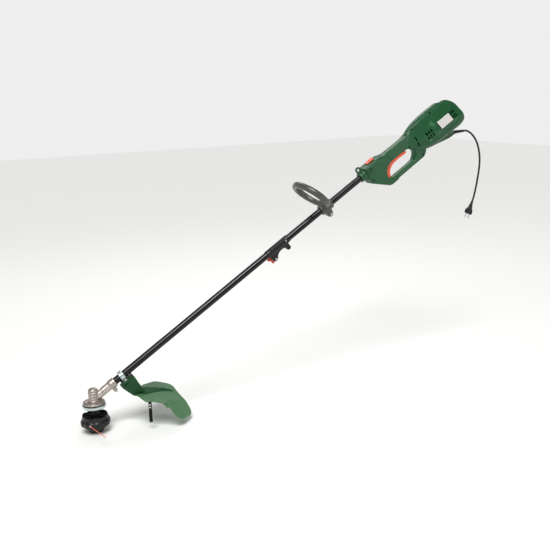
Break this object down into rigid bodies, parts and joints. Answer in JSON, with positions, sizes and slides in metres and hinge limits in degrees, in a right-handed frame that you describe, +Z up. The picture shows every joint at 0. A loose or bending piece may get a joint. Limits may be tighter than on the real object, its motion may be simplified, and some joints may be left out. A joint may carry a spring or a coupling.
{
  "type": "string trimmer",
  "caption": "Corded string trimmer: split straight shaft, angled gear head with a bump-feed line head, guard, loop handle and a rear motor housing with a closed grip.",
  "frame": {"origin": "centre of the strap eye's hole at the nose of the motor housing", "axes": "+Z up in the working pose, +X from the line head towards the motor, +Y along the strap eye's hole, away from the label side"},
  "size_m": [1.7854, 0.3214, 1.0948],
  "materials": {
    "cast_aluminium": "as cast, bead blasted",
    "zinc_plate": "bright zinc plated",
    "steel": "turned",
    "tube_black": "gloss powder coat",
    "nylon_black": "moulded, satin",
    "blade_black": "black oxide",
    "housing_green": "moulded, fine grain",
    "guard_green": "moulded, satin",
    "skirt_sage": "moulded, satin",
    "handle_grey": "moulded, fine grain",
    "control_orange": "moulded",
    "knob_red": "moulded",
    "line_orange": "extruded nylon",
    "cord_black": "matt",
    "label_white": "printed film, blank",
    "core_iron": "stacked sheet",
    "copper": "wound",
    "carbon": "pressed"
  },
  "bodies": {
    "housing": {"nose_collar": "housing_green", "left_shell": "housing_green", "right_shell": "housing_green", "housing_screws": "steel", "side_cap": "housing_green", "label_plate": "label_white", "trigger_pin": "steel", "trigger_spring": "steel", "switch": "nylon_black", "flex_shaft": "nylon_black", "stator": "core_iron", "motor_bearings": "steel", "bearing_plates": "cast_aluminium", "brushes": "carbon", "strain_relief": "cord_black", "power_cord": "cord_black", "plug_body": "cord_black", "plug_pins": "zinc_plate", "upper_tube": "tube_black", "upper_bushings": "nylon_black", "coupler": "nylon_black", "coupler_bolt": "steel", "release_spring": "steel"},
    "motor_rotor": {"rotor": "core_iron", "fan": "nylon_black"},
    "upper_shaft": {"upper_drive_shaft": "steel"},
    "lower_unit": {"lower_tube": "tube_black", "lower_bushings": "nylon_black", "gearcase": "cast_aluminium", "gearcase_clamp_screw": "steel", "grease_plug": "steel", "arbor_bearings": "steel", "pinion_bearings": "steel", "guard_arm": "guard_green", "guard_skirt": "skirt_sage", "guard_clamp": "zinc_plate", "guard_screws": "steel", "line_cutter": "blade_black", "cutter_screws": "steel"},
    "lower_shaft": {"lower_drive_shaft": "steel", "pinion": "steel"},
    "line_head": {"arbor": "steel", "driven_gear": "steel", "wrap_plate": "zinc_plate", "head_housing": "nylon_black", "head_cover": "nylon_black", "line_eyelets": "steel", "cutting_lines": "line_orange", "arbor_nut": "steel", "bump_spring": "steel"},
    "bump_knob": {"bump_knob": "nylon_black"},
    "line_spool": {"spool": "nylon_black", "line_winding": "line_orange"},
    "loop_handle": {"loop_handle": "handle_grey", "handle_clamp": "handle_grey", "handle_bolt": "steel"},
    "trigger": {"trigger": "control_orange"},
    "lock_slider": {"lock_slider": "control_orange"},
    "coupler_knob": {"coupler_knob": "knob_red"},
    "release_pin": {"release_pin": "steel"}
  },
  "joints": [
    {"name": "motor_spin", "type": "hinge", "parent": "housing", "child": "motor_rotor", "pos_m": [0.3583, 0, 0.1445], "axis": [0.8526, 0, 0.5225], "continuous": true},
    {"name": "upper_shaft_spin", "type": "hinge", "parent": "housing", "child": "upper_shaft", "pos_m": [-0.17001, 0, -0.14171], "axis": [0.8526, 0, 0.5225], "continuous": true},
    {"name": "lower_unit_slide", "type": "slide", "parent": "housing", "child": "lower_unit", "axis": [-0.8526, 0, -0.5225], "range_m": [0, 0.045]},
    {"name": "lower_shaft_spin", "type": "hinge", "parent": "lower_unit", "child": "lower_shaft", "pos_m": [-0.76686, 0, -0.50746], "axis": [0.8526, 0, 0.5225], "continuous": true},
    {"name": "head_spin", "type": "hinge", "parent": "lower_unit", "child": "line_head", "pos_m": [-1.10791, 0, -0.71646], "axis": [0, 0, 1], "continuous": true},
    {"name": "bump_knob_press", "type": "slide", "parent": "line_head", "child": "bump_knob", "axis": [0, 0, 1], "range_m": [0, 0.006], "stiffness_N_per_m": 1200, "springref_m": -0.004, "deforming": ["bump_spring"]},
    {"name": "spool_index", "type": "hinge", "parent": "line_head", "child": "line_spool", "pos_m": [-1.10791, 0, -0.80146], "axis": [0, 0, 1], "continuous": true},
    {"name": "handle_slide", "type": "slide", "parent": "housing", "child": "loop_handle", "axis": [0.8526, 0, 0.5225], "range_m": [-0.15, 0.12]},
    {"name": "trigger_squeeze", "type": "hinge", "parent": "housing", "child": "trigger", "pos_m": [0.13639, 0, -0.04074], "axis": [0, -1, 0], "range_deg": [0, 5], "stiffness_Nm_per_rad": 2, "springref_deg": -5.73},
    {"name": "lock_slide", "type": "slide", "parent": "housing", "child": "lock_slider", "axis": [-0.8526, 0, -0.5225], "range_m": [0, 0.008], "stiffness_N_per_m": 300, "springref_m": -0.003},
    {"name": "coupler_knob_turn", "type": "hinge", "parent": "housing", "child": "coupler_knob", "pos_m": [-0.37891, 0, -0.30608], "axis": [0, 1, 0], "range_deg": [0, 540]},
    {"name": "release_pin_press", "type": "slide", "parent": "housing", "child": "release_pin", "axis": [0, 1, 0], "range_m": [0, 0.003], "stiffness_N_per_m": 600, "springref_m": -0.002}
  ],
  "couplings": [
    {"joint": "upper_shaft_spin", "follows": "motor_spin", "ratio": 1},
    {"joint": "lower_shaft_spin", "follows": "motor_spin", "ratio": 1},
    {"joint": "head_spin", "follows": "motor_spin", "ratio": -0.73684}
  ]
}
